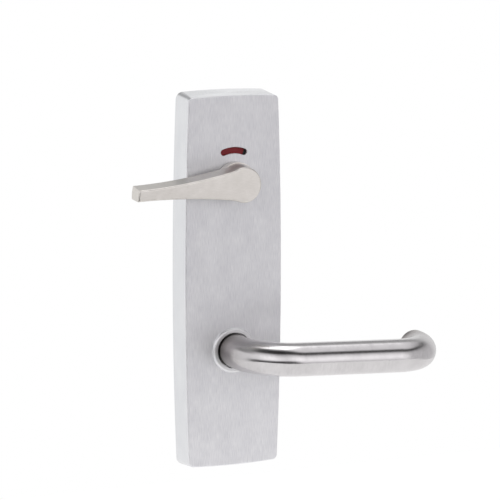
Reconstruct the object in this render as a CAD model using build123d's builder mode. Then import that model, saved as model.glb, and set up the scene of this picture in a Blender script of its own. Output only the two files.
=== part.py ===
from build123d import *
import os
from math import asin, cos, degrees, radians, sin, sqrt, tan

# Privacy lever handle: a long bowed plate that carries a return lever and, above it, an extended
# turn with a colour indicator behind an arc slot. The plate hides a sprung lever mechanism, a turn
# detent and a steel chassis whose threaded posts pass through the door.
#
# Frame: X to the right as seen from the room, Y into the door, Z up. The origin is the middle of
# the plate's back, on the door face. A "height" is a distance from the door face into the room.

# Plate, as seen from the front
plate_width = 66.0
plate_height = 238.0
plate_depth = 20.0
side_bow = 2.5
end_bow = 1.0
side_flare = 0.8
end_flare = 2.2
front_corner_radius = 3.0
rear_corner_radius = 5.0
front_edge_radius = 0.7
face_wall = 2.6
side_wall = 2.6
cavity_corner_radius = 2.0

# Places of the two axes on the plate
lever_axis_z = -44.0
axis_spacing = 109.0

# Clearances
running_clearance = 0.05
seat_clearance = 0.02
stack_clearance = 0.1
cover_clearance = 0.3

# Chassis plate, its screws and the posts that reach through the door
chassis_thickness = 3.0
screw_radius = 2.0
screw_head_height = 1.8
screw_head_taper = 45.0
screw_length = 12.0
screw_socket = 2.5
screw_socket_depth = 1.6
screw_boss_wall = 2.5
screw_to_side = 12.0
screw_above_turn = 23.0
screw_below_lever = 44.0
post_to_end = 19.0
post_thread_radius = 2.1
post_wall = 2.4
post_reach = 16.0
post_thread_depth = 15.0
post_flange_lip = 2.5
post_flange_thickness = 2.0
thread_chamfer = 0.5
rib_thickness = 2.0
rib_depth = 6.0
rib_centre_z = 18.0
rib_pitch = 16.0

# Lever tube
tube_diameter = 21.5
tube_wall = 1.5
lever_reach = 124.3
neck_straight = 8.9
neck_bend_radius = 27.5
return_bend_radius = 27.5
return_straight = 1.2
lever_droop = 2.5
end_plug_thickness = 1.2
end_plug_edge = 0.7
end_plug_spigot = 1.8

# Bush ring in the plate
lever_bush_wall = 2.2
lever_bush_depth = 9.0
lever_bush_flange_lip = 1.7
lever_bush_flange_curve = 1.3
lever_bush_flange_height = 1.6
lever_bush_recess_width = 0.8
lever_bush_recess_depth = 4.0
lever_boss_wall = 4.0

# Hub inside the neck, with the square spindle
hub_bend_gap = 1.0
hub_end_wall = 2.0
hub_shoulder = 1.5
hub_flat_cut = 1.4
hub_ring_land = 1.25
journal_wall = 0.85
journal_end_height = 0.5
spindle_width = 8.0
spindle_reach = 45.0
spindle_chamfer = 1.0
washer_thickness = 1.0
washer_lip = 1.5
lever_grub_rise = 3.4
lever_grub_radius = 2.5
lever_grub_sink = 0.4
grub_socket = 2.0
grub_socket_depth = 2.0

# Lever cam, spring post and stops
lever_travel = 45.0
cam_thickness = 2.0
cam_radius = 14.0
cam_arm_root = 9.0
lug_width = 5.0
lug_thickness = 2.5
lug_top_gap = 0.6
stop_pin_radius = 2.5
post_to_coil = 1.7
post_to_lug = 1.5
post_to_cam = 0.6

# Lever return spring
spring_wire = 1.4
coil_to_boss = 0.9
spring_turns = 3
spring_top_gap = 0.2
spring_bottom_gap = 0.4
spring_leg_bend = 2.4
spring_leg_overrun = 1.5

# Retaining rings
ring_thickness = 1.0
ring_band = 2.4
ring_groove_depth = 0.7
ring_opening = 5.0
ring_eye_radius = 1.6
ring_eye_hole_radius = 0.8
ring_eye_end = 0.4

# Turn handle
turn_boss_radius = 12.3
turn_boss_height = 6.0
turn_head_thickness = 12.0
turn_rear_radius = 12.0
turn_face_radius = 11.2
turn_face_sink = 0.7
arm_reach = 71.7
arm_tip_slant = 1.2
arm_tip_crown = 0.3
arm_tip_rear_height = 8.2
arm_tip_face_height = 7.1
arm_root_start = 4.0
arm_root_step = 1.4
arm_root_fillet = 14.0
turn_rear_edge_radius = 0.5
turn_face_edge_radius = 1.0
turn_rear_droop = 2.3
turn_face_droop = 2.7
turn_travel = 90.0
turn_socket_cover = 4.0
turn_grub_radius = 2.0
turn_grub_sink = 0.8

# Turn shaft, bush and tailpiece
shaft_radius = 6.0
shaft_flat_cut = 1.2
turn_bush_wall = 2.0
turn_bush_flange_lip = 2.8
turn_bush_flange_height = 0.6
turn_bush_stand = 0.4
tailpiece_width = 5.0
tailpiece_top_height = 22.0
tailpiece_reach = 45.0
tailpiece_chamfer = 0.6

# Indicator slot and disc
slot_radius = 19.3
slot_width = 4.0
slot_half_angle = 21.0
slot_edge_radius = 0.3
disc_margin = 1.2
disc_thickness = 1.5
label_thickness = 0.2
label_margin = 1.8
label_rim = 0.5
label_start_angle = 67.0
label_sweep = 64.0
turn_stop_angle = 270.0
turn_stop_radius = 1.7
turn_stop_overrun = 0.6

# Turn detent
detent_wall = 1.0
detent_corner_radius = 3.0
detent_bottom_height = 6.5
detent_top_height = 11.5
detent_hub_wall = 0.9
leaf_thickness = 0.5
leaf_width = 4.0
leaf_half_length = 12.0
leaf_tab = 3.6
leaf_pin_radius = 1.5

# Derived sizes of the plate and of what is fixed in it
turn_axis_z = lever_axis_z + axis_spacing
lever_axis = Axis((0, 0, lever_axis_z), (0, 1, 0))
inner_face_height = plate_depth - face_wall
rear_width = plate_width + 2 * side_flare
rear_height = plate_height + 2 * end_flare
chassis_gap = side_wall + cover_clearance
post_spacing = plate_height - 2 * post_to_end
post_radius = post_thread_radius + post_wall
screw_head_radius = screw_radius + screw_head_height * tan(radians(screw_head_taper))

# Derived sizes of the lever, its bush and hub
tube_radius = tube_diameter / 2
tube_bore_radius = tube_radius - tube_wall
bush_bore = tube_radius + running_clearance
lever_bush_radius = bush_bore + lever_bush_wall
lever_bush_bottom = plate_depth - lever_bush_depth
lever_bush_top = plate_depth + lever_bush_flange_height
lever_boss_radius = lever_bush_radius + lever_boss_wall
washer_radius = lever_bush_radius + washer_lip
hub_journal_radius = sqrt(2) * spindle_width / 2 + journal_wall
hub_stub_radius = hub_journal_radius + hub_shoulder
hub_flat = hub_stub_radius - hub_flat_cut
neck_bend_height = lever_bush_top + neck_straight
grip_height = neck_bend_height + neck_bend_radius
hub_top_height = neck_bend_height - hub_bend_gap
spindle_top_height = hub_top_height - hub_end_wall
lever_grub_height = lever_bush_top + lever_grub_rise

# Heights of what is stacked under the lever bush, from the washer down to the retaining ring
washer_bottom = lever_bush_bottom - running_clearance - washer_thickness
cam_top = washer_bottom - running_clearance
cam_bottom = cam_top - cam_thickness
lever_ring_top = cam_bottom - running_clearance
hub_stub_bottom = lever_ring_top - ring_thickness - hub_ring_land

# Return spring, the post between its legs and the lug that pushes them
spring_coil_radius = lever_boss_radius + coil_to_boss + spring_wire / 2
spring_post_reach = spring_coil_radius + spring_wire / 2 + post_to_coil + lug_width / 2
lug_reach = spring_post_reach + lug_width / 2 + post_to_lug + lug_thickness
lug_orbit = lug_reach - lug_thickness / 2
lug_top = inner_face_height - lug_top_gap
spring_leg_reach = lug_reach + spring_leg_overrun

# Derived sizes of the turn, its shaft, disc and detent
shaft_flat = shaft_radius - shaft_flat_cut
shaft_journal_radius = sqrt(2) * tailpiece_width / 2 + journal_wall
shaft_shoulder = chassis_thickness + stack_clearance
turn_bush_radius = shaft_radius + turn_bush_wall
turn_base_height = plate_depth + turn_bush_flange_height + stack_clearance
turn_rear_height = plate_depth + turn_boss_height
turn_front_height = turn_rear_height + turn_head_thickness
turn_socket_top = turn_front_height - turn_socket_cover
turn_grub_height = (turn_base_height + turn_rear_height) / 2
disc_top = inner_face_height - turn_bush_stand - stack_clearance
disc_bottom = disc_top - disc_thickness
disc_radius = slot_radius + slot_width / 2 + disc_margin
turn_stop_orbit = disc_radius - turn_stop_radius
turn_ring_top = disc_bottom - stack_clearance
detent_hub_top = turn_ring_top - ring_thickness - stack_clearance
detent_width = 2 * (shaft_radius + detent_wall)
leaf_line_x = detent_width / 2 + running_clearance + leaf_thickness / 2
leaf_bottom = (detent_bottom_height + detent_top_height - leaf_width) / 2
leaf_pin_offset = leaf_thickness / 2 + running_clearance + leaf_pin_radius

os.makedirs("parts", exist_ok=True)


def level(height):
    """Plane parallel to the door face, looking into the room, centred on the plate."""
    return Plane(origin=(0, -height, 0), x_dir=(1, 0, 0), z_dir=(0, -1, 0))


def lever_level(height):
    """Plane across the lever axis."""
    return Plane(origin=(0, -height, lever_axis_z), x_dir=(1, 0, 0), z_dir=(0, -1, 0))


def turn_level(height, droop=0.0, sink=0.0):
    """Plane across the turn axis; droop tilts its X axis so that the arm's tip hangs, sink lowers it."""
    tilt = radians(droop)
    return Plane(origin=(0, -height, turn_axis_z - sink), x_dir=(cos(tilt), 0, sin(tilt)), z_dir=(0, -1, 0))


def below(axis_z, height):
    """Plane on an axis at one height, facing straight down."""
    return Plane(origin=(0, -height, axis_z), x_dir=(1, 0, 0), z_dir=(0, 0, -1))


def profile_plane(axis_z):
    """Half-section plane of a turned piece: X is the radius and Y the height."""
    return Plane(origin=(0, 0, axis_z), x_dir=(1, 0, 0), z_dir=(0, 0, -1))


def bowed_outline(width, height, corner_radius):
    """Rounded rectangle whose width and height are measured at its bowed middles."""
    corner_x = width / 2 - side_bow
    corner_z = height / 2 - end_bow
    with BuildSketch() as outline:
        with BuildLine():
            ThreePointArc((-corner_x, corner_z), (0, height / 2), (corner_x, corner_z))
            ThreePointArc((corner_x, corner_z), (width / 2, 0), (corner_x, -corner_z))
            ThreePointArc((corner_x, -corner_z), (0, -height / 2), (-corner_x, -corner_z))
            ThreePointArc((-corner_x, -corner_z), (-width / 2, 0), (-corner_x, corner_z))
        make_face()
        fillet(outline.vertices(), corner_radius)
    return outline.sketch


def flatted_circle(radius, flat):
    """Circle with two flats at plus and minus the given distance along the local Y axis."""
    with BuildSketch() as outline:
        Circle(radius)
        Rectangle(2 * radius, 2 * flat, mode=Mode.INTERSECT)
    return outline.sketch


def turn_outline(head_radius, tip_height):
    """Round head with a long arm to the left that narrows in a shallow curve to a slanted tip."""
    root_half = head_radius - arm_root_step
    upper_tip = (arm_tip_slant - arm_reach, tip_height / 2)
    lower_tip = (-arm_reach, -tip_height / 2)
    with BuildSketch() as outline:
        Circle(head_radius)
        with BuildLine():
            TangentArc(upper_tip, (-arm_root_start, root_half), tangent=(1, 0))
            Line((-arm_root_start, root_half), (-arm_root_start, -root_half))
            TangentArc(lower_tip, (-arm_root_start, -root_half), tangent=(1, 0))
            ThreePointArc(lower_tip, (arm_tip_slant / 2 - arm_reach - arm_tip_crown, 0), upper_tip)
        make_face()
        fillet(outline.vertices().filter_by_position(Axis.X, -arm_reach / 2, -1), arm_root_fillet)
    return outline.sketch


def retaining_ring(plane, shaft_radius_here):
    """Open steel ring with two eyes, seated in a groove; its top lies on the plane."""
    inner = shaft_radius_here - ring_groove_depth + seat_clearance
    outer = inner + ring_band
    eye_orbit = (inner + outer) / 2
    eye_x = ring_opening / 2 + ring_eye_hole_radius + ring_eye_end
    eye_y = -sqrt(eye_orbit**2 - eye_x**2)
    with BuildPart() as ring:
        with BuildSketch(plane):
            Circle(outer)
            with Locations((eye_x, eye_y), (-eye_x, eye_y)):
                Circle(ring_eye_radius)
            Circle(inner, mode=Mode.SUBTRACT)
            Rectangle(ring_opening, 2 * outer, align=(Align.CENTER, Align.MAX), mode=Mode.SUBTRACT)
            with Locations((eye_x, eye_y), (-eye_x, eye_y)):
                Circle(ring_eye_hole_radius, mode=Mode.SUBTRACT)
        extrude(amount=-ring_thickness)
    return ring.part


def grub_screw(axis_z, height, radius, inner_end, outer_end):
    """Set screw hanging below an axis, with a hexagon socket in its lower end."""
    with BuildPart() as screw:
        with BuildSketch(below(axis_z, height).offset(inner_end)):
            Circle(radius)
        extrude(amount=outer_end - inner_end)
        chamfer(screw.edges().group_by(Axis.Z)[-1], thread_chamfer)
        with BuildSketch(below(axis_z, height).offset(outer_end)):
            RegularPolygon(grub_socket / 2, 6, major_radius=False)
        extrude(amount=-grub_socket_depth, mode=Mode.SUBTRACT)
    return screw.part


# Planes and positions shared by several pieces
droop_angle = radians(lever_droop)
grip_plane = Plane(
    origin=(0, 0, lever_axis_z),
    x_dir=(cos(droop_angle), 0, -sin(droop_angle)),
    z_dir=(-sin(droop_angle), 0, -cos(droop_angle)),
)
door_side = Plane(origin=(0, 0, 0), x_dir=(-1, 0, 0), z_dir=(0, 1, 0))
screw_x = plate_width / 2 - screw_to_side
screw_rows = (turn_axis_z + screw_above_turn, 0, lever_axis_z - screw_below_lever)
screw_points = Locations(*[(side * screw_x, row) for side in (-1, 1) for row in screw_rows])
post_grid = GridLocations(post_spacing, post_spacing, 1, 2)
lug_clear_angle = degrees(asin((lug_width / 2 + stop_pin_radius) / lug_orbit))
stop_angle = lever_travel + lug_clear_angle + degrees(stack_clearance / lug_orbit)
stop_points = [
    (side * lug_orbit * sin(radians(stop_angle)), -lug_orbit * cos(radians(stop_angle))) for side in (-1, 1)
]
stop_direction = radians(turn_stop_angle)
turn_stop_point = (turn_stop_orbit * cos(stop_direction), turn_stop_orbit * sin(stop_direction))

# Cover plate: bowed, drafted shell with an arc slot, two bores, bosses, stop pins and ribs
with BuildPart() as cover_plate:
    with BuildSketch(level(0)):
        add(bowed_outline(rear_width, rear_height, rear_corner_radius))
    with BuildSketch(level(plate_depth)):
        add(bowed_outline(plate_width, plate_height, front_corner_radius))
    loft()
    fillet(cover_plate.faces().sort_by(Axis.Y)[0].edges(), front_edge_radius)
    with BuildSketch(level(0)):
        add(bowed_outline(rear_width - 2 * side_wall, rear_height - 2 * side_wall, cavity_corner_radius))
    with BuildSketch(level(inner_face_height)):
        add(bowed_outline(plate_width - 2 * side_wall, plate_height - 2 * side_wall, cavity_corner_radius))
    loft(mode=Mode.SUBTRACT)
    # Screw bosses stand on the face and carry the chassis
    with BuildSketch(level(chassis_thickness)):
        with screw_points:
            Circle(screw_radius + screw_boss_wall)
            Circle(screw_radius + seat_clearance, mode=Mode.SUBTRACT)
    extrude(amount=inner_face_height - chassis_thickness)
    # Two cross ribs in the free middle of the shell
    with BuildSketch(level(inner_face_height)):
        with Locations((0, rib_centre_z)):
            with GridLocations(plate_width, rib_pitch, 1, 2):
                Rectangle(plate_width - 2 * side_wall, rib_thickness)
    extrude(amount=-rib_depth)
    # Boss and bore of the lever bush
    with BuildSketch(lever_level(lever_bush_bottom)):
        Circle(lever_boss_radius)
    extrude(amount=inner_face_height - lever_bush_bottom)
    with BuildSketch(lever_level(lever_bush_bottom)):
        Circle(lever_bush_radius + seat_clearance)
    extrude(amount=plate_depth, mode=Mode.SUBTRACT)
    # Spring post between the spring's legs, and the two stop pins of the lever
    with BuildSketch(lever_level(cam_top + post_to_cam)):
        with Locations((0, -spring_post_reach)):
            Circle(lug_width / 2)
    extrude(amount=inner_face_height - cam_top - post_to_cam)
    with BuildSketch(lever_level(cam_bottom)):
        with Locations(*stop_points):
            Circle(stop_pin_radius)
    extrude(amount=inner_face_height - cam_bottom)
    # Stop pin of the turn, running in the disc's notch
    with BuildSketch(turn_level(inner_face_height)):
        with Locations(turn_stop_point):
            Circle(turn_stop_radius)
    extrude(amount=disc_bottom - turn_stop_overrun - inner_face_height)
    # Bore of the turn bush and the arc slot over the indicator
    with BuildSketch(turn_level(inner_face_height)):
        Circle(turn_bush_radius + seat_clearance)
    extrude(amount=face_wall, mode=Mode.SUBTRACT)
    with BuildSketch(turn_level(inner_face_height)):
        with BuildLine() as slot_line:
            CenterArc((0, 0), slot_radius, 90 - slot_half_angle, 2 * slot_half_angle)
        SlotArc(slot_line.edge(), slot_width)
    extrude(amount=face_wall, mode=Mode.SUBTRACT)
    front_openings = cover_plate.faces().sort_by(Axis.Y)[0].inner_wires()
    fillet(front_openings.sort_by(Axis.Z)[-1].edges(), slot_edge_radius)
cover_plate.part.label = "cover_plate"
export_step(cover_plate.part, "parts/cover_plate.step")

# Chassis plate inside the shell's back, with bearing holes and countersunk screw holes
with BuildPart() as backing_plate:
    with BuildSketch(level(0)):
        chassis_width = plate_width - 2 * chassis_gap
        chassis_height = plate_height - 2 * chassis_gap
        add(bowed_outline(chassis_width, chassis_height, cavity_corner_radius))
        with post_grid:
            Circle(post_radius + seat_clearance, mode=Mode.SUBTRACT)
        with Locations((0, lever_axis_z)):
            Circle(hub_journal_radius + running_clearance, mode=Mode.SUBTRACT)
        with Locations((0, turn_axis_z)):
            Circle(shaft_journal_radius + running_clearance, mode=Mode.SUBTRACT)
        with screw_points:
            Circle(screw_radius + seat_clearance, mode=Mode.SUBTRACT)
    extrude(amount=chassis_thickness)
    with BuildSketch(door_side):
        with screw_points:
            Circle(screw_head_radius + seat_clearance)
    extrude(amount=-screw_head_height, taper=screw_head_taper, mode=Mode.SUBTRACT)
    # Four riveted pins hold the ends of the two detent leaves
    with BuildSketch(turn_level(chassis_thickness)):
        pin_spacing_x = 2 * (leaf_line_x + leaf_pin_offset)
        pin_spacing_z = 2 * (leaf_half_length - leaf_pin_offset)
        with GridLocations(pin_spacing_x, pin_spacing_z, 2, 2):
            Circle(leaf_pin_radius)
    extrude(amount=detent_top_height - chassis_thickness)
backing_plate.part.label = "backing_plate"
export_step(backing_plate.part, "parts/backing_plate.step")

# Six countersunk screws hold the chassis to the shell's bosses
with BuildPart() as chassis_screws:
    with BuildSketch(door_side):
        with screw_points:
            Circle(screw_radius)
    extrude(amount=-screw_length)
    with BuildSketch(door_side):
        with screw_points:
            Circle(screw_head_radius)
    extrude(amount=-screw_head_height, taper=screw_head_taper)
    with BuildSketch(door_side):
        with screw_points:
            RegularPolygon(screw_socket / 2, 6, major_radius=False)
    extrude(amount=-screw_socket_depth, mode=Mode.SUBTRACT)
chassis_screws.part.label = "chassis_screws"
export_step(chassis_screws.part, "parts/chassis_screws.step")

# Two flanged posts, threaded inside, riveted into the chassis and reaching into the door
with BuildPart() as fixing_posts:
    with BuildSketch(level(-post_reach)):
        with post_grid:
            Circle(post_radius)
    extrude(amount=post_reach + chassis_thickness)
    chamfer(fixing_posts.faces().sort_by(Axis.Y)[-2:].edges(), thread_chamfer)
    with BuildSketch(level(chassis_thickness)):
        with post_grid:
            Circle(post_radius + post_flange_lip)
    extrude(amount=post_flange_thickness)
    with BuildSketch(level(-post_reach)):
        with post_grid:
            Circle(post_thread_radius)
    extrude(amount=post_thread_depth, mode=Mode.SUBTRACT)
fixing_posts.part.label = "fixing_posts"
export_step(fixing_posts.part, "parts/fixing_posts.step")

# Bright bush ring that carries the lever's neck
with BuildPart() as lever_bush:
    with BuildSketch(profile_plane(lever_axis_z)):
        with BuildLine():
            recess_radius = bush_bore + lever_bush_recess_width
            recess_floor = lever_bush_top - lever_bush_recess_depth
            flange_radius = lever_bush_radius + lever_bush_flange_lip
            flange_rim = (flange_radius, plate_depth)
            flange_shoulder = (flange_radius - lever_bush_flange_curve, lever_bush_top)
            Polyline(
                flange_shoulder,
                (recess_radius, lever_bush_top),
                (recess_radius, recess_floor),
                (bush_bore, recess_floor),
                (bush_bore, lever_bush_bottom),
                (lever_bush_radius, lever_bush_bottom),
                (lever_bush_radius, plate_depth),
                flange_rim,
            )
            TangentArc(flange_rim, flange_shoulder, tangent=(0, 1))
        make_face()
    revolve(axis=lever_axis)
lever_bush.part.label = "lever_bush"
export_step(lever_bush.part, "parts/lever_bush.step")

# Lever: one bent tube from the bush, along the grip and back towards the door
with BuildPart() as lever_handle:
    with BuildLine(grip_plane) as lever_line:
        FilletPolyline(
            (0, lever_bush_bottom),
            (0, grip_height),
            (lever_reach, grip_height),
            (lever_reach, grip_height - return_bend_radius - return_straight),
            radius=[neck_bend_radius, return_bend_radius],
        )
    with BuildSketch(Plane(origin=lever_line.line @ 0, z_dir=lever_line.line % 0)):
        Circle(tube_radius)
        Circle(tube_bore_radius, mode=Mode.SUBTRACT)
    sweep(path=lever_line.line)
    with BuildSketch(below(lever_axis_z, lever_grub_height)):
        Circle(lever_grub_radius + seat_clearance)
    extrude(amount=tube_diameter, mode=Mode.SUBTRACT)
lever_handle.part.label = "lever_handle"
export_step(lever_handle.part, "parts/lever_handle.step")

# Plug that closes the tube's free end
with BuildPart() as lever_end_plug:
    with BuildSketch(Plane(origin=lever_line.line @ 1, z_dir=lever_line.line % 1)):
        Circle(tube_radius)
    extrude(amount=end_plug_thickness)
    fillet(lever_end_plug.edges().sort_by(Axis.Y)[-1], end_plug_edge)
    with BuildSketch(Plane(origin=lever_line.line @ 1, z_dir=lever_line.line % 1)):
        Circle(tube_bore_radius - seat_clearance)
    extrude(amount=-end_plug_spigot)
lever_end_plug.part.label = "lever_end_plug"
export_step(lever_end_plug.part, "parts/lever_end_plug.step")

# Hub pressed into the neck: stub with two flats for the cam, ring groove, chassis journal, square
with BuildPart() as lever_hub:
    with BuildSketch(lever_level(journal_end_height)):
        Circle(hub_journal_radius)
    extrude(amount=hub_stub_bottom - journal_end_height)
    with BuildSketch(lever_level(hub_stub_bottom)):
        add(flatted_circle(hub_stub_radius, hub_flat))
    extrude(amount=cam_top - hub_stub_bottom)
    with BuildSketch(lever_level(cam_top)):
        Circle(hub_stub_radius)
    extrude(amount=lever_bush_bottom - cam_top)
    with BuildSketch(lever_level(lever_bush_bottom)):
        Circle(tube_bore_radius - seat_clearance)
    extrude(amount=hub_top_height - lever_bush_bottom)
    with BuildSketch(lever_level(lever_ring_top + seat_clearance)):
        Circle(tube_radius)
        Circle(hub_stub_radius - ring_groove_depth, mode=Mode.SUBTRACT)
    extrude(amount=-ring_thickness - 2 * seat_clearance, mode=Mode.SUBTRACT)
    with BuildSketch(lever_level(journal_end_height)):
        Rectangle(spindle_width + 2 * seat_clearance, spindle_width + 2 * seat_clearance)
    extrude(amount=spindle_top_height + cover_clearance - journal_end_height, mode=Mode.SUBTRACT)
    with BuildSketch(below(lever_axis_z, lever_grub_height)):
        Circle(lever_grub_radius + seat_clearance)
    extrude(amount=tube_radius, mode=Mode.SUBTRACT)
lever_hub.part.label = "lever_hub"
export_step(lever_hub.part, "parts/lever_hub.step")

# Square spindle that drives the lock
with BuildPart() as lever_spindle:
    with BuildSketch(lever_level(-spindle_reach)):
        Rectangle(spindle_width, spindle_width)
    extrude(amount=spindle_reach + spindle_top_height)
    chamfer(lever_spindle.faces().sort_by(Axis.Y)[-1].edges(), spindle_chamfer)
lever_spindle.part.label = "lever_spindle"
export_step(lever_spindle.part, "parts/lever_spindle.step")

lever_grub = grub_screw(
    lever_axis_z,
    lever_grub_height,
    lever_grub_radius,
    spindle_width / 2 + seat_clearance,
    tube_radius - lever_grub_sink,
)
lever_grub.label = "lever_grub_screw"
export_step(lever_grub, "parts/lever_grub_screw.step")

# Thrust washer between the bush and the cam
with BuildPart() as lever_washer:
    with BuildSketch(lever_level(washer_bottom)):
        Circle(washer_radius)
        Circle(hub_stub_radius + running_clearance, mode=Mode.SUBTRACT)
    extrude(amount=washer_thickness)
lever_washer.part.label = "lever_washer"
export_step(lever_washer.part, "parts/lever_washer.step")

# Cam on the hub's flats; its turned-up lug pushes the spring's legs and meets the stop pins
with BuildPart() as lever_cam:
    with BuildSketch(lever_level(cam_bottom)):
        Circle(cam_radius)
        with BuildLine():
            Polyline(
                (-cam_arm_root / 2, 0),
                (cam_arm_root / 2, 0),
                (cam_arm_root / 2, -cam_radius),
                (lug_width / 2, lug_thickness - lug_reach),
                (lug_width / 2, -lug_reach),
                (-lug_width / 2, -lug_reach),
                (-lug_width / 2, lug_thickness - lug_reach),
                (-cam_arm_root / 2, -cam_radius),
                close=True,
            )
        make_face()
        add(flatted_circle(hub_stub_radius + seat_clearance, hub_flat + seat_clearance), mode=Mode.SUBTRACT)
    extrude(amount=cam_thickness)
    with BuildSketch(lever_level(cam_bottom)):
        with Locations((0, -lug_orbit)):
            Rectangle(lug_width, lug_thickness)
    extrude(amount=lug_top - cam_bottom)
lever_cam.part.label = "lever_cam"
export_step(lever_cam.part, "parts/lever_cam.step")

lever_ring = retaining_ring(lever_level(lever_ring_top), hub_stub_radius)
lever_ring.label = "lever_retaining_ring"
export_step(lever_ring, "parts/lever_retaining_ring.step")

# Return spring: a coil round the bush's boss whose two straight legs straddle post and lug
spring_top = inner_face_height - spring_top_gap - spring_wire / 2
spring_bottom = cam_top + spring_bottom_gap + spring_wire / 2
leg_offset = lug_width / 2 + running_clearance + spring_wire / 2
bend_x = leg_offset + spring_leg_bend
bend_y = -sqrt((spring_coil_radius + spring_leg_bend) ** 2 - bend_x**2)
bend_angle = degrees(asin(bend_x / (spring_coil_radius + spring_leg_bend)))
coil_sweep = 360 * spring_turns - 2 * bend_angle
half_turns = 2 * spring_turns


def coil_point(share):
    """Point on the coil's centre line, share 0 at the first leg and 1 at the second."""
    angle = radians(-90 + bend_angle + share * coil_sweep)
    height = spring_top + share * (spring_bottom - spring_top)
    return (spring_coil_radius * cos(angle), -height, lever_axis_z + spring_coil_radius * sin(angle))


def leg_points(side, height):
    """Tip of a leg, its bend's start and the bend's middle, at one side of the spring post."""
    middle = radians(45 + bend_angle / 2)
    tip = (side * leg_offset, -height, lever_axis_z - spring_leg_reach)
    start = (side * leg_offset, -height, lever_axis_z + bend_y)
    halfway_x = bend_x - spring_leg_bend * sin(middle)
    halfway_y = bend_y + spring_leg_bend * cos(middle)
    return tip, start, (side * halfway_x, -height, lever_axis_z + halfway_y)


with BuildPart() as lever_return_spring:
    with BuildLine() as spring_line:
        tip, bend_start, bend_middle = leg_points(1, spring_top)
        Line(tip, bend_start)
        ThreePointArc(bend_start, bend_middle, coil_point(0))
        for step in range(half_turns):
            shares = [(step + part_way) / half_turns for part_way in (0, 0.5, 1)]
            ThreePointArc(*[coil_point(share) for share in shares])
        tip, bend_start, bend_middle = leg_points(-1, spring_bottom)
        ThreePointArc(coil_point(1), bend_middle, bend_start)
        Line(bend_start, tip)
    with BuildSketch(Plane(origin=spring_line.line @ 0, z_dir=(0, 0, 1))):
        Circle(spring_wire / 2)
    sweep(path=spring_line.line)
lever_return_spring.part.label = "lever_return_spring"
export_step(lever_return_spring.part, "parts/lever_return_spring.step")
coil_pitch = (spring_top - spring_bottom) * 360 / coil_sweep
print("return spring: least gap between turns", round(coil_pitch - spring_wire, 2), "mm")

# Flanged bush that carries the turn
with BuildPart() as turn_bush:
    with BuildSketch(turn_level(plate_depth)):
        Circle(turn_bush_radius + turn_bush_flange_lip)
    extrude(amount=turn_bush_flange_height)
    with BuildSketch(turn_level(inner_face_height - turn_bush_stand)):
        Circle(turn_bush_radius)
    extrude(amount=face_wall + turn_bush_stand)
    with BuildSketch(turn_level(inner_face_height - turn_bush_stand)):
        Circle(shaft_radius + running_clearance)
    extrude(amount=plate_depth, mode=Mode.SUBTRACT)
turn_bush.part.label = "turn_bush"
export_step(turn_bush.part, "parts/turn_bush.step")

# Turn handle: head and arm lean back on their upper side, from a smaller face to the rear outline
with BuildPart() as turn_handle:
    with BuildSketch(turn_level(turn_rear_height, turn_rear_droop)):
        add(turn_outline(turn_rear_radius, arm_tip_rear_height))
    with BuildSketch(turn_level(turn_front_height, turn_face_droop, turn_face_sink)):
        add(turn_outline(turn_face_radius, arm_tip_face_height))
    loft(ruled=True)
    head_faces = turn_handle.faces().filter_by(Axis.Y).sort_by(Axis.Y)
    fillet(head_faces[0].edges(), turn_face_edge_radius)
    fillet(turn_handle.faces().filter_by(Axis.Y).sort_by(Axis.Y)[-1].edges(), turn_rear_edge_radius)
    with BuildSketch(turn_level(turn_base_height)):
        Circle(turn_boss_radius)
    extrude(amount=turn_rear_height - turn_base_height + turn_rear_edge_radius)
    with BuildSketch(turn_level(turn_base_height)):
        add(flatted_circle(shaft_radius + seat_clearance, shaft_flat + seat_clearance))
    extrude(amount=turn_socket_top + stack_clearance - turn_base_height, mode=Mode.SUBTRACT)
    with BuildSketch(below(turn_axis_z, turn_grub_height)):
        Circle(turn_grub_radius + seat_clearance)
    extrude(amount=2 * turn_boss_radius, mode=Mode.SUBTRACT)
turn_handle.part.label = "turn_handle"
export_step(turn_handle.part, "parts/turn_handle.step")

turn_grub = grub_screw(
    turn_axis_z,
    turn_grub_height,
    turn_grub_radius,
    shaft_flat + 2 * seat_clearance,
    turn_boss_radius - turn_grub_sink,
)
turn_grub.label = "turn_grub_screw"
export_step(turn_grub, "parts/turn_grub_screw.step")

# Turn shaft: flats for the handle and for the disc and detent, a ring groove and a square bore
with BuildPart() as turn_shaft:
    with BuildSketch(turn_level(journal_end_height)):
        Circle(shaft_journal_radius)
    extrude(amount=shaft_shoulder - journal_end_height)
    with BuildSketch(turn_level(shaft_shoulder)):
        add(flatted_circle(shaft_radius, shaft_flat))
    extrude(amount=turn_socket_top - shaft_shoulder)
    with BuildSketch(turn_level(disc_top)):
        Circle(shaft_radius)
    extrude(amount=turn_base_height - disc_top)
    with BuildSketch(turn_level(turn_ring_top + seat_clearance)):
        Circle(turn_boss_radius)
        Circle(shaft_radius - ring_groove_depth, mode=Mode.SUBTRACT)
    extrude(amount=-ring_thickness - 2 * seat_clearance, mode=Mode.SUBTRACT)
    with BuildSketch(turn_level(journal_end_height)):
        Rectangle(tailpiece_width + 2 * seat_clearance, tailpiece_width + 2 * seat_clearance)
    extrude(amount=tailpiece_top_height + cover_clearance - journal_end_height, mode=Mode.SUBTRACT)
turn_shaft.part.label = "turn_shaft"
export_step(turn_shaft.part, "parts/turn_shaft.step")

# Square tailpiece that drives the privacy bolt
with BuildPart() as turn_tailpiece:
    with BuildSketch(turn_level(-tailpiece_reach)):
        Rectangle(tailpiece_width, tailpiece_width)
    extrude(amount=tailpiece_reach + tailpiece_top_height)
    chamfer(turn_tailpiece.faces().sort_by(Axis.Y)[-1].edges(), tailpiece_chamfer)
turn_tailpiece.part.label = "turn_tailpiece"
export_step(turn_tailpiece.part, "parts/turn_tailpiece.step")

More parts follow.
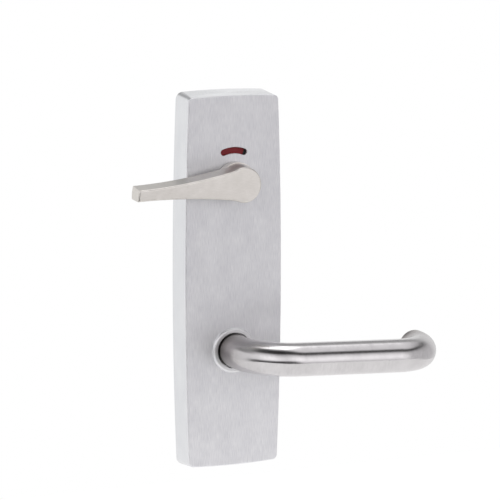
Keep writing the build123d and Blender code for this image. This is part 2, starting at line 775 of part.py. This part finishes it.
# Indicator disc with a rim notch that meets the plate's stop pin at both ends of the travel
with BuildPart() as indicator_disc:
    with BuildSketch(turn_level(disc_bottom)):
        Circle(disc_radius)
        add(flatted_circle(shaft_radius + seat_clearance, shaft_flat + seat_clearance), mode=Mode.SUBTRACT)
        with BuildLine() as notch_line:
            CenterArc((0, 0), turn_stop_orbit, turn_stop_angle - turn_travel, turn_travel)
        SlotArc(notch_line.edge(), 2 * (turn_stop_radius + stack_clearance), mode=Mode.SUBTRACT)
    extrude(amount=disc_thickness)
indicator_disc.part.label = "indicator_disc"
export_step(indicator_disc.part, "parts/indicator_disc.step")


def indicator_label(start_angle):
    """Thin coloured sector on the disc's face."""
    inner_radius = slot_radius - slot_width / 2 - label_margin
    with BuildPart() as label:
        with BuildSketch(turn_level(disc_top)):
            with BuildLine():
                outer_arc = CenterArc((0, 0), disc_radius - label_rim, start_angle, label_sweep)
                inner_arc = CenterArc((0, 0), inner_radius, start_angle, label_sweep)
                Line(outer_arc @ 0, inner_arc @ 0)
                Line(outer_arc @ 1, inner_arc @ 1)
            make_face()
        extrude(amount=label_thickness)
    return label.part


engaged_label = indicator_label(label_start_angle)
engaged_label.label = "engaged_label"
export_step(engaged_label, "parts/engaged_label.step")

vacant_label = indicator_label(label_start_angle - turn_travel)
vacant_label.label = "vacant_label"
export_step(vacant_label, "parts/vacant_label.step")

turn_ring = retaining_ring(turn_level(turn_ring_top), shaft_radius)
turn_ring.label = "turn_retaining_ring"
export_step(turn_ring, "parts/turn_retaining_ring.step")

# Detent cam: a square block with rounded corners between two round hubs
with BuildPart() as detent_cam:
    with BuildSketch(turn_level(shaft_shoulder)):
        Circle(shaft_radius + detent_hub_wall)
    extrude(amount=detent_hub_top - shaft_shoulder)
    with BuildSketch(turn_level(detent_bottom_height)):
        RectangleRounded(detent_width, detent_width, detent_corner_radius)
    extrude(amount=detent_top_height - detent_bottom_height)
    with BuildSketch(turn_level(shaft_shoulder)):
        add(flatted_circle(shaft_radius + seat_clearance, shaft_flat + seat_clearance))
    extrude(amount=plate_depth, mode=Mode.SUBTRACT)
detent_cam.part.label = "detent_cam"
export_step(detent_cam.part, "parts/detent_cam.step")

# Two flat leaf springs press on the cam's flats, hooked over the chassis pins
with BuildPart() as detent_leaves:
    with BuildSketch(turn_level(leaf_bottom)):
        for side in (-1, 1):
            with BuildLine():
                Polyline(
                    (side * (leaf_line_x + leaf_tab), -leaf_half_length),
                    (side * leaf_line_x, -leaf_half_length),
                    (side * leaf_line_x, leaf_half_length),
                    (side * (leaf_line_x + leaf_tab), leaf_half_length),
                )
            trace(line_width=leaf_thickness)
    extrude(amount=leaf_width)
detent_leaves.part.label = "detent_leaves"
export_step(detent_leaves.part, "parts/detent_leaves.step")
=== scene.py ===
"""Looks of the privacy lever handle: satin steel plate, lever and turn, seen as in the shop photograph."""
import math

import bpy
from bpy.props import FloatProperty, FloatVectorProperty, PointerProperty
from mathutils import Matrix, Vector

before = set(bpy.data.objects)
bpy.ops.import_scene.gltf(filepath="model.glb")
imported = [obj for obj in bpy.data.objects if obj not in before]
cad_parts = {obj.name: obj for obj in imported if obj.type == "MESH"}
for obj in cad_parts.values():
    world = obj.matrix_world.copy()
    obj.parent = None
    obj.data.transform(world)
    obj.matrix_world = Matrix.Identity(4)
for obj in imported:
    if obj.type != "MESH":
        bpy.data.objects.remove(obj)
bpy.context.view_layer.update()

bl_info = {
    "name": "Privacy lever handle",
    "version": (1, 0, 0),
    "blender": (4, 5, 0),
    "location": "3D View > Sidebar > Handle",
    "description": "Finishes, studio and camera for a privacy lever handle on its long plate",
    "category": "Object",
}

MM = 0.001

# The picture's width and the lens, both in pixels of the picture, and the sensor in millimetres
IMAGE_WIDTH = 500
FOCAL_PIXELS = 2720.18
SENSOR_WIDTH = 36.0

# The lever tube's line, as the part's source has it
LEVER_REACH = 124.3 * MM
BEND_RADIUS = 27.5 * MM
BENDS_START = 30.5 * MM

# How far the plate's face stands off the door, and the round edge over which it turns into the side walls
PLATE_FACE = 19.0 * MM
EDGE_OUT = 0.2 * MM
EDGE_IN = 0.3 * MM

# A ramp's colours end at 1, so the room is written at half its brightness and doubled as light
ROOM_STRENGTH = 2.0
ROOM_TINT = (1.0, 0.985, 1.0)
GREY = (1.0, 1.0, 1.0)

# Brightness of the room by the height of the way it lies in, from -1 straight down to 1 straight up
WINDOW_LEVELS = (
    (-0.9, 1.4), (-0.6, 1.25), (-0.42, 1.2), (-0.38, 0.7), (-0.35, 0.02), (-0.1, 0.02), (-0.03, 0.55),
    (0.03, 1.4), (0.1, 1.7), (0.2, 1.8), (0.36, 1.75), (0.47, 1.5), (0.58, 1.15), (0.66, 0.8),
    (0.72, 0.35), (0.76, 0.07), (0.92, 0.07), (0.96, 0.7), (0.98, 1.1),
)
WALL_LEVELS = (
    (-0.9, 1.15), (-0.6, 1.1), (-0.4, 1.0), (-0.2, 0.85), (-0.05, 0.7), (0.46, 0.65), (0.66, 0.58),
    (0.74, 0.4), (0.81, 0.07), (0.9, 0.07), (0.96, 0.8),
)
BACK_LEVELS = (
    (-0.6, 0.8), (-0.3, 1.0), (0.42, 1.0), (0.49, 0.35), (0.6, 0.35), (0.7, 0.5), (0.92, 0.45),
    (0.97, 1.0),
)

# Share of the window's brightness by how far the way lies to the left, -1, or to the right, 1
SIDE_SHARES = (
    (-0.95, 0.5), (-0.75, 0.75), (-0.55, 0.85), (-0.4, 0.7), (-0.27, 0.5), (-0.12, 0.55), (0.05, 0.67),
    (0.2, 0.83), (0.35, 1.0),
)


# Small helpers


def srgb(text):
    """Turn an sRGB hex colour into a linear one."""
    parts = [int(text[i:i + 2], 16) / 255 for i in (0, 2, 4)]
    return [v / 12.92 if v <= 0.04045 else ((v + 0.055) / 1.055) ** 2.4 for v in parts]


def add(tree, kind, links=None, stops=None, **settings):
    """Add one node: settings are its properties, links feed its inputs, stops are a ramp's colours."""
    node = tree.nodes.new("ShaderNode" + kind)
    for name, value in settings.items():
        setattr(node, name, value)
    for name, value in (links or {}).items():
        if isinstance(value, bpy.types.NodeSocket):
            tree.links.new(value, node.inputs[name])
        else:
            node.inputs[name].default_value = value
    if stops:
        elements = node.color_ramp.elements
        while len(elements) < len(stops):
            elements.new(0.5)
        for element, (place, colour) in zip(elements, stops):
            element.position = place
            element.color = (*colour, 1.0)
    return node


def grain(tree, size, detail=3.0, roughness=0.55):
    """Noise whose lumps are size = (x, y, z) millimetres, fixed to the metal in the part's own frame."""
    place = add(tree, "TexCoord").outputs["Object"]
    scale = [1 / (s * MM) for s in size]
    spread = add(tree, "Mapping", {"Vector": place, "Scale": scale}, vector_type="POINT")
    return add(tree, "TexNoise", {
        "Vector": spread.outputs["Vector"], "Scale": 1.0, "Detail": detail, "Roughness": roughness,
    }).outputs["Fac"]


def halfway(tree, first, second):
    """The middle of two noise values."""
    total = add(tree, "Math", {0: first, 1: second}, operation="ADD").outputs[0]
    return add(tree, "Math", {0: total, 1: 0.5}, operation="MULTIPLY").outputs[0]


def between(tree, value, low, high, start=0.3, stop=0.7):
    """Go from low to high while a value goes from start to stop; noise mostly keeps to 0.3 to 0.7."""
    return add(tree, "MapRange", {
        "Value": value, "From Min": start, "From Max": stop, "To Min": low, "To Max": high,
    }).outputs["Result"]


def tinted(tree, value, low, high):
    """Move between two colours by a noise value."""
    return add(tree, "ValToRGB", {"Fac": value}, stops=[(0.3, low), (0.7, high)]).outputs["Color"]


def along(tree, kind, axis):
    """A point's place, kind Object, or the way its surface faces, kind Normal, along one axis."""
    place = add(tree, "TexCoord").outputs[kind]
    return add(tree, "SeparateXYZ", {"Vector": place}).outputs[axis]


def new_material(name):
    """A material with no nodes yet; returns it and its node tree."""
    material = bpy.data.materials.new(name)
    material.use_nodes = True
    material.node_tree.nodes.clear()
    return material, material.node_tree


def surface(material, colour, rough, relief, sockets):
    """Close a material with its shader; rough is a socket, relief is (noise, strength, depth in mm)."""
    tree = material.node_tree
    height, strength, depth = relief
    bump = add(tree, "Bump", {"Height": height, "Strength": strength, "Distance": depth * MM})
    shader = add(tree, "BsdfPrincipled", {
        "Base Color": colour, "Roughness": rough, "Normal": bump.outputs["Normal"], **sockets,
    })
    add(tree, "OutputMaterial", {"Surface": shader.outputs["BSDF"]})
    return material


def dress(nodes, material):
    """Give CAD nodes a material in place of the plain one they came with."""
    for name in nodes:
        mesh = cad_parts[name].data
        mesh.materials.clear()
        mesh.materials.append(material)


# Finishes


def brushed_stainless_plate(dark, light):
    """Grade 304 sheet, belt brushed up and down: long fine lines on the face, smoother side walls; the
    face's colour is painted lighter than the walls' as painted light.
    """
    material, tree = new_material("brushed_stainless_plate")
    # Real brush lines are about 0.1 mm wide; these are 0.5 mm, so that they show
    lines = grain(tree, (0.5, 0.5, 6), detail=4)
    clouds = grain(tree, (11, 11, 17), detail=4)
    shade = between(tree, clouds, -0.08, 0.08)
    mixed = add(tree, "Math", {0: lines, 1: shade}, operation="ADD").outputs[0]
    # Painted light: the face's colours are set lighter than the walls', though face and walls are one steel,
    # to stand in for the light on the face
    face = tinted(tree, mixed, dark, light)
    wall = tinted(tree, clouds, srgb("D9DADD"), srgb("DFE0E2"))
    depth = along(tree, "Object", "Y")
    on_wall = between(tree, depth, 0.0, 1.0, -PLATE_FACE - EDGE_OUT, -PLATE_FACE + EDGE_IN)
    colour = add(tree, "MixRGB", {"Fac": on_wall, "Color1": face, "Color2": wall}).outputs["Color"]
    smoother = -0.33
    rough = add(tree, "Math", {
        0: on_wall, 1: smoother, 2: between(tree, lines, 0.5, 0.58),
    }, operation="MULTIPLY_ADD").outputs[0]
    return surface(material, colour, rough, (lines, 0.4, 0.01), {"Metallic": 1.0, "Anisotropic": 0.5})


def along_tube(tree):
    """The way the bent tube runs: out of the plate, round the first bend, along, and back round the last."""
    place = add(tree, "SeparateXYZ", {"Vector": add(tree, "TexCoord").outputs["Object"]}).outputs
    out = between(tree, place["Y"], 0.0, 1.0, -BENDS_START, -BENDS_START - BEND_RADIUS)
    first = between(tree, place["X"], 0.0, -1.0, BEND_RADIUS, 0.0)
    last = between(tree, place["X"], 0.0, 1.0, LEVER_REACH - BEND_RADIUS, LEVER_REACH)
    turn = add(tree, "Math", {0: first, 1: last}, operation="ADD").outputs[0]
    return add(tree, "CombineXYZ", {"X": out, "Y": turn}).outputs["Vector"]


def satin_stainless_tube(dark, light):
    """Grade 304 tube, satined with a belt that wraps round it: light stays in bands along the tube."""
    material, tree = new_material("satin_stainless_tube")
    # Real belt lines are about 0.1 mm wide; these are 0.5 mm, so that they show
    rings = grain(tree, (0.5, 5, 5), detail=3)
    clouds = grain(tree, (9, 9, 9), detail=4)
    satin = tinted(tree, halfway(tree, rings, clouds), dark, light)
    # Painted shade: the colour darkens towards the door, down to a dark brown grey next to the ring,
    # standing in for the shade and dark reflections round the neck
    shade_starts, shade_full = -58 * MM, -20 * MM
    near_door = between(tree, along(tree, "Object", "Y"), 0.0, 1.0, shade_starts, shade_full)
    painted_neck_shade = add(tree, "ValToRGB", {"Fac": near_door}, stops=[
        (0.0, srgb("FFFFFF")), (0.3, srgb("ECEBEB")), (0.65, srgb("C8C4C2")), (0.92, srgb("807A77")),
    ]).outputs["Color"]
    colour = add(tree, "MixRGB", {
        "Fac": 1.0, "Color1": satin, "Color2": painted_neck_shade,
    }, blend_type="MULTIPLY").outputs["Color"]
    return surface(material, colour, between(tree, rings, 0.16, 0.22), (rings, 0.6, 0.01), {
        "Metallic": 1.0, "Anisotropic": 0.9, "Tangent": along_tube(tree),
    })


def satin_stainless_casting(dark, light):
    """Cast stainless, linished along its arm: warm silk with fine short lines; faces not turned to the front
    are painted darker as painted shade.
    """
    material, tree = new_material("satin_stainless_casting")
    specks = grain(tree, (0.6, 0.6, 0.6))
    # Real linishing lines are about 0.1 mm wide; these are 0.4 mm, so that they show
    lines = grain(tree, (4, 0.4, 0.4), detail=3)
    clouds = grain(tree, (5, 5, 5), detail=4)
    face = tinted(tree, halfway(tree, lines, clouds), dark, light)
    # Painted shade: faces not turned to the front get darker colours, standing in for the shade and the
    # plate's dark reflection on the turn's top and side faces
    shaded_sides = tinted(tree, clouds, srgb("CDC9C4"), srgb("D8D4CF"))
    on_side = between(tree, along(tree, "Normal", "Y"), 0.0, 1.0, -0.95, -0.6)
    colour = add(tree, "MixRGB", {"Fac": on_side, "Color1": face, "Color2": shaded_sides}).outputs["Color"]
    rough = between(tree, specks, 0.28, 0.34)
    return surface(material, colour, rough, (lines, 0.3, 0.01), {"Metallic": 1.0})


def turned_stainless_ring():
    """Turned stainless, rubbed with a fine pad: faint rings from the lathe tool in a soft bright sheen."""
    material, tree = new_material("turned_stainless_ring")
    rings = grain(tree, (3, 0.25, 3))
    colour = tinted(tree, rings, srgb("ECECEE"), srgb("F0F0F1"))
    rough = between(tree, rings, 0.42, 0.48)
    return surface(material, colour, rough, (rings, 0.05, 0.005), {"Metallic": 1.0})


def zinc_plated_steel():
    """Pressed and turned mild steel in bright zinc: bluish grey with a cloudy bloom."""
    material, tree = new_material("zinc_plated_steel")
    clouds = grain(tree, (4, 4, 4), detail=5)
    specks = grain(tree, (0.4, 0.4, 0.4))
    colour = tinted(tree, clouds, srgb("A9AEB4"), srgb("BCC0C5"))
    rough = between(tree, clouds, 0.28, 0.42)
    return surface(material, colour, rough, (specks, 0.2, 0.02), {"Metallic": 1.0})


def blackened_steel():
    """Hardened screws and clips in black oxide: dark, oily, a little brown where it wears."""
    material, tree = new_material("blackened_steel")
    wear = grain(tree, (1.5, 1.5, 1.5), detail=5)
    colour = tinted(tree, wear, srgb("2A2A2C"), srgb("3C3935"))
    return surface(material, colour, between(tree, wear, 0.32, 0.5), (wear, 0.2, 0.02), {"Metallic": 1.0})


def drawn_spring_steel():
    """Cold drawn music wire and strip: grey with fine lines from the die and a straw tint."""
    material, tree = new_material("drawn_spring_steel")
    # Real die lines are under 0.1 mm wide; these are 0.3 mm, so that they show
    lines = grain(tree, (0.3, 2.5, 0.3))
    colour = tinted(tree, lines, srgb("8F8C86"), srgb("A6A39C"))
    return surface(material, colour, between(tree, lines, 0.25, 0.4), (lines, 0.2, 0.01), {"Metallic": 1.0})


def natural_acetal():
    """Moulded acetal: milky white, waxy, with the faint orange peel of the mould."""
    material, tree = new_material("natural_acetal")
    peel = grain(tree, (0.8, 0.8, 0.8))
    clouds = grain(tree, (6, 6, 6))
    colour = tinted(tree, clouds, srgb("E4E2DC"), srgb("ECEAE5"))
    glow_depth = 4 * MM
    return surface(material, colour, between(tree, peel, 0.36, 0.46), (peel, 0.15, 0.02), {
        "IOR": 1.48, "Subsurface Weight": 0.15, "Subsurface Scale": 1.0,
        "Subsurface Radius": (glow_depth, glow_depth, glow_depth),
    })


def black_nylon_disc():
    """Moulded black nylon: dull charcoal with a fine spark-eroded texture."""
    material, tree = new_material("black_nylon_disc")
    # Real spark pits are about 0.05 mm wide; these are 0.35 mm, so that they show
    pits = grain(tree, (0.35, 0.35, 0.35))
    colour = tinted(tree, pits, srgb("1B1D1C"), srgb("272A28"))
    return surface(material, colour, between(tree, pits, 0.5, 0.65), (pits, 0.3, 0.03), {"IOR": 1.53})


def printed_label(name, full, thin):
    """Screen-printed vinyl label: strong ink, full or thin in patches, with the faint mesh of the screen."""
    material, tree = new_material(name)
    # Real screen threads are about 0.1 mm apart; these are 0.25 mm, so that they show
    mesh = grain(tree, (0.25, 0.25, 0.25))
    clouds = grain(tree, (3, 3, 3))
    colour = tinted(tree, clouds, full, thin)
    return surface(material, colour, between(tree, mesh, 0.5, 0.62), (mesh, 0.15, 0.01), {"IOR": 1.46})


# Sizes and colours a user would change


class HandleStudio(bpy.types.PropertyGroup):
    """Camera and studio."""
    azimuth: FloatProperty(
        name="Camera azimuth", description="Turn of the camera round the handle; negative is to its left",
        default=math.radians(-23.4998), subtype="ANGLE", unit="ROTATION")
    elevation: FloatProperty(
        name="Camera elevation", description="Height of the camera as an angle",
        default=math.radians(9.28061), subtype="ANGLE", unit="ROTATION")
    roll: FloatProperty(
        name="Camera roll", description="Turn of the camera about its own line of sight",
        default=math.radians(0.13589), subtype="ANGLE", unit="ROTATION")
    distance: FloatProperty(
        name="Camera distance", description="From the camera to the point it looks at",
        default=1.75107, unit="LENGTH", subtype="DISTANCE")
    lens: FloatProperty(
        name="Lens", description="Focal length on a sensor 36 mm wide",
        default=FOCAL_PIXELS / IMAGE_WIDTH * SENSOR_WIDTH, unit="CAMERA")
    target: FloatVectorProperty(
        name="Target", description="The point in the middle of the picture",
        default=(0.019906, 0.0, 0.01635), subtype="XYZ", unit="LENGTH")
    floor_drop: FloatProperty(
        name="Floor drop", description="From the middle of the plate down to the floor",
        default=0.35, unit="LENGTH", subtype="DISTANCE")
    floor_side: FloatProperty(
        name="Floor side", description="Length of each side of the square floor",
        default=1.6, unit="LENGTH", subtype="DISTANCE")
    lamp_power: FloatProperty(
        name="Lamp power", description="Power of the soft lamp above the handle",
        default=3.4, unit="POWER")
    lamp_side: FloatProperty(
        name="Lamp side", description="Length of each side of the square lamp",
        default=0.9, unit="LENGTH", subtype="DISTANCE")


class HandleColours(bpy.types.PropertyGroup):
    """Steel and ink colours."""
    # The plate's face colours are painted lighter than its walls, as painted light on the face
    plate_dark: FloatVectorProperty(
        name="Plate, dark", description="Steel of the plate's face in the hollows of its grain",
        default=srgb("E5E5E9"), subtype="COLOR", min=0.0, max=1.0)
    plate_light: FloatVectorProperty(
        name="Plate, light", description="Steel of the plate's face on the crests of its grain",
        default=srgb("F8F8FA"), subtype="COLOR", min=0.0, max=1.0)
    tube_dark: FloatVectorProperty(
        name="Lever, dark", description="Steel of the lever in the hollows of its grain",
        default=srgb("C5C3C4"), subtype="COLOR", min=0.0, max=1.0)
    tube_light: FloatVectorProperty(
        name="Lever, light", description="Steel of the lever on the crests of its grain",
        default=srgb("D8D6D7"), subtype="COLOR", min=0.0, max=1.0)
    turn_dark: FloatVectorProperty(
        name="Turn, dark", description="Steel of the turn's face in the hollows of its grain",
        default=srgb("D9D5CF"), subtype="COLOR", min=0.0, max=1.0)
    turn_light: FloatVectorProperty(
        name="Turn, light", description="Steel of the turn's face on the crests of its grain",
        default=srgb("E9E5E0"), subtype="COLOR", min=0.0, max=1.0)
    engaged: FloatVectorProperty(
        name="Engaged red", description="Ink of the label that shows when the lock is on",
        default=srgb("86181F"), subtype="COLOR", min=0.0, max=1.0)
    engaged_thin: FloatVectorProperty(
        name="Engaged red, thin", description="The same ink where it lies thinner",
        default=srgb("8F2029"), subtype="COLOR", min=0.0, max=1.0)
    vacant: FloatVectorProperty(
        name="Vacant green", description="Ink of the label that shows when the lock is off",
        default=srgb("2E7D46"), subtype="COLOR", min=0.0, max=1.0)
    vacant_thin: FloatVectorProperty(
        name="Vacant green, thin", description="The same ink where it lies thinner",
        default=srgb("37894E"), subtype="COLOR", min=0.0, max=1.0)


# One operator for each piece or group of like pieces


class HANDLE_OT_plate(bpy.types.Operator):
    """Finish the cover plate in brushed stainless steel"""
    bl_idname = "handle.plate"
    bl_label = "Cover plate"

    def execute(self, context):
        colours = context.scene.handle_colours
        dress(["cover_plate"], brushed_stainless_plate(colours.plate_dark, colours.plate_light))
        return {"FINISHED"}


class HANDLE_OT_lever(bpy.types.Operator):
    """Finish the lever, its end plug and the bright ring round its neck"""
    bl_idname = "handle.lever"
    bl_label = "Lever and ring"

    def execute(self, context):
        colours = context.scene.handle_colours
        satin = satin_stainless_tube(colours.tube_dark, colours.tube_light)
        dress(["lever_handle", "lever_end_plug"], satin)
        dress(["lever_bush"], turned_stainless_ring())
        return {"FINISHED"}


class HANDLE_OT_turn(bpy.types.Operator):
    """Finish the privacy turn"""
    bl_idname = "handle.turn"
    bl_label = "Privacy turn"

    def execute(self, context):
        colours = context.scene.handle_colours
        dress(["turn_handle"], satin_stainless_casting(colours.turn_dark, colours.turn_light))
        return {"FINISHED"}


class HANDLE_OT_indicator(bpy.types.Operator):
    """Finish the disc behind the slot and its two labels"""
    bl_idname = "handle.indicator"
    bl_label = "Indicator"

    def execute(self, context):
        colours = context.scene.handle_colours
        dress(["indicator_disc"], black_nylon_disc())
        red = printed_label("red_label_ink", colours.engaged, colours.engaged_thin)
        green = printed_label("green_label_ink", colours.vacant, colours.vacant_thin)
        dress(["engaged_label"], red)
        dress(["vacant_label"], green)
        return {"FINISHED"}


class HANDLE_OT_works(bpy.types.Operator):
    """Finish the plated steel, blackened steel, spring and acetal pieces inside the plate"""
    bl_idname = "handle.works"
    bl_label = "Works inside"

    def execute(self, context):
        dress([
            "backing_plate", "chassis_screws", "fixing_posts", "lever_hub", "lever_spindle",
            "lever_cam", "turn_shaft", "turn_tailpiece",
        ], zinc_plated_steel())
        dress([
            "lever_grub_screw", "turn_grub_screw", "lever_retaining_ring", "turn_retaining_ring",
        ], blackened_steel())
        dress(["lever_return_spring", "detent_leaves"], drawn_spring_steel())
        dress(["lever_washer", "detent_cam", "turn_bush"], natural_acetal())
        return {"FINISHED"}


class HANDLE_OT_studio(bpy.types.Operator):
    """Set up the white room, the floor, the lamp and the camera"""
    bl_idname = "handle.studio"
    bl_label = "Studio"

    def execute(self, context):
        settings = context.scene.handle_studio
        self.room(context)
        self.floor(context, settings)
        self.lamp(context, settings)
        self.camera(context, settings)
        context.scene.view_settings.view_transform = "Standard"
        return {"FINISHED"}

    def bands(self, tree, way, levels, colour):
        """Bands of light across the room: levels are (way, brightness), each way from -1 to 1."""
        factor = between(tree, way, 0.0, 1.0, -1.0, 1.0)
        stops = [((place + 1) / 2, [level * part for part in colour]) for place, level in levels]
        return add(tree, "ValToRGB", {"Fac": factor}, stops=stops).outputs["Color"]

    def room(self, context):
        """White to the camera and behind the handle; a window in front, a grey wall to the right."""
        world = bpy.data.worlds.new("white_room")
        world.use_nodes = True
        tree = world.node_tree
        tree.nodes.clear()
        generated = add(tree, "TexCoord").outputs["Generated"]
        way = add(tree, "SeparateXYZ", {"Vector": generated}).outputs
        # The bands lie lower on the right than on the left
        lift = between(tree, way["X"], 0.0, 0.3, 0.1, 0.6)
        height = add(tree, "Math", {0: way["Z"], 1: lift}, operation="ADD").outputs[0]
        tint = [part / ROOM_STRENGTH for part in ROOM_TINT]
        window = add(tree, "MixRGB", {
            "Fac": 1.0, "Color1": self.bands(tree, height, WINDOW_LEVELS, tint),
            "Color2": self.bands(tree, way["X"], SIDE_SHARES, GREY),
        }, blend_type="MULTIPLY").outputs["Color"]
        wall = self.bands(tree, height, WALL_LEVELS, tint)
        right = between(tree, way["X"], 0.0, 1.0, 0.3, 0.7)
        front = add(tree, "MixRGB", {"Fac": right, "Color1": window, "Color2": wall}).outputs["Color"]
        # What the plate's side and top walls mirror lies behind the handle and a little to the left
        to_back = (-0.28, 0.96, 0.0)
        back = add(tree, "VectorMath", {0: generated, 1: to_back}, operation="DOT_PRODUCT")
        behind = between(tree, back.outputs["Value"], 0.0, 1.0, 0.1, 0.3)
        plain = [part / ROOM_STRENGTH for part in GREY]
        backdrop = self.bands(tree, way["Z"], BACK_LEVELS, plain)
        walls = add(tree, "MixRGB", {"Fac": behind, "Color1": front, "Color2": backdrop}).outputs["Color"]
        lit = add(tree, "Background", {"Color": walls, "Strength": ROOM_STRENGTH})
        white = add(tree, "Background", {"Color": (1.0, 1.0, 1.0, 1.0), "Strength": 1.0})
        # The camera sees plain white, and so does metal that looks behind the handle and not too high
        rays = add(tree, "LightPath").outputs
        low = between(tree, way["Z"], 1.0, 0.0, 0.38, 0.44)
        low_behind = add(tree, "Math", {0: behind, 1: low}, operation="MULTIPLY").outputs[0]
        mirrored = add(tree, "Math", {
            0: rays["Is Glossy Ray"], 1: rays["Is Transmission Ray"]}, operation="MAXIMUM").outputs[0]
        mirrored = add(tree, "Math", {0: mirrored, 1: low_behind}, operation="MULTIPLY").outputs[0]
        seen = add(tree, "Math", {0: rays["Is Camera Ray"], 1: mirrored}, operation="MAXIMUM").outputs[0]
        both = add(tree, "MixShader", {0: seen, 1: lit.outputs[0], 2: white.outputs[0]})
        add(tree, "OutputWorld", {"Surface": both.outputs[0]})
        context.scene.world = world

    def floor(self, context, settings):
        """A plain pale floor that keeps the handle's shadow and shows white to camera and metal."""
        half = settings.floor_side / 2
        mesh = bpy.data.meshes.new("floor")
        corners = [(-half, -half), (half, -half), (half, half), (-half, half)]
        mesh.from_pydata([(x, y, -settings.floor_drop) for x, y in corners], [], [(0, 1, 2, 3)])
        floor = bpy.data.objects.new("floor", mesh)
        context.scene.collection.objects.link(floor)
        material, tree = new_material("pale_floor")
        paint = add(tree, "BsdfDiffuse", {"Color": (*srgb("F4F1EF"), 1.0)})
        glow = add(tree, "Emission", {"Color": (1.0, 1.0, 1.0, 1.0), "Strength": 1.3})
        rays = add(tree, "LightPath").outputs
        seen = add(tree, "Math", {
            0: rays["Is Camera Ray"], 1: rays["Is Glossy Ray"]}, operation="MAXIMUM").outputs[0]
        glow_share = 0.64
        share = add(tree, "Math", {0: seen, 1: glow_share}, operation="MULTIPLY").outputs[0]
        both = add(tree, "MixShader", {0: share, 1: paint.outputs[0], 2: glow.outputs[0]})
        add(tree, "OutputMaterial", {"Surface": both.outputs[0]})
        mesh.materials.append(material)

    def lamp(self, context, settings):
        """One large soft lamp high above the handle and a little behind it."""
        data = bpy.data.lights.new("high_soft_lamp", "AREA")
        data.shape = "SQUARE"
        data.size = settings.lamp_side
        data.energy = settings.lamp_power
        lamp = bpy.data.objects.new("high_soft_lamp", data)
        place = Vector((0.1, 0.15, 1.4))
        aim = (-place).to_track_quat("-Z", "Y").to_matrix().to_4x4()
        lamp.matrix_world = Matrix.Translation(place) @ aim
        context.scene.collection.objects.link(lamp)

    def camera(self, context, settings):
        """The photograph's view: from the left and a little above, with a long lens."""
        az, el, roll = settings.azimuth, settings.elevation, settings.roll
        back = Vector((math.sin(az) * math.cos(el), -math.cos(az) * math.cos(el), math.sin(el)))
        right = Vector((math.cos(az), math.sin(az), 0.0))
        up = back.cross(right)
        across = right * math.cos(roll) + up * math.sin(roll)
        upward = up * math.cos(roll) - right * math.sin(roll)
        place = Vector(settings.target) + back * settings.distance
        data = bpy.data.cameras.new("photo_camera")
        data.sensor_width = SENSOR_WIDTH
        data.sensor_fit = "HORIZONTAL"
        data.lens = settings.lens
        data.clip_start = 0.05
        data.clip_end = 50.0
        camera = bpy.data.objects.new("photo_camera", data)
        turn = Matrix((across, upward, back)).transposed().to_4x4()
        camera.matrix_world = Matrix.Translation(place) @ turn
        context.scene.collection.objects.link(camera)
        context.scene.camera = camera


class HANDLE_PT_panel(bpy.types.Panel):
    """Lists the steps that dress the handle and what they can be set to"""
    bl_label = "Privacy lever handle"
    bl_idname = "HANDLE_PT_panel"
    bl_space_type = "VIEW_3D"
    bl_region_type = "UI"
    bl_category = "Handle"

    def draw(self, context):
        for step in STEPS:
            self.layout.operator(step.bl_idname)
        for name in HandleStudio.__annotations__:
            self.layout.prop(context.scene.handle_studio, name)
        for name in HandleColours.__annotations__:
            self.layout.prop(context.scene.handle_colours, name)


STEPS = (
    HANDLE_OT_plate,
    HANDLE_OT_lever,
    HANDLE_OT_turn,
    HANDLE_OT_indicator,
    HANDLE_OT_works,
    HANDLE_OT_studio,
)
CLASSES = (HandleStudio, HandleColours) + STEPS + (HANDLE_PT_panel,)


def register():
    for item in CLASSES:
        bpy.utils.register_class(item)
    bpy.types.Scene.handle_studio = PointerProperty(type=HandleStudio)
    bpy.types.Scene.handle_colours = PointerProperty(type=HandleColours)


def unregister():
    del bpy.types.Scene.handle_colours
    del bpy.types.Scene.handle_studio
    for item in reversed(CLASSES):
        bpy.utils.unregister_class(item)


def main():
    """Dress the handle step by step."""
    register()
    bpy.ops.handle.plate()
    bpy.ops.handle.lever()
    bpy.ops.handle.turn()
    bpy.ops.handle.indicator()
    bpy.ops.handle.works()
    bpy.ops.handle.studio()


if __name__ == "__main__":
    main()
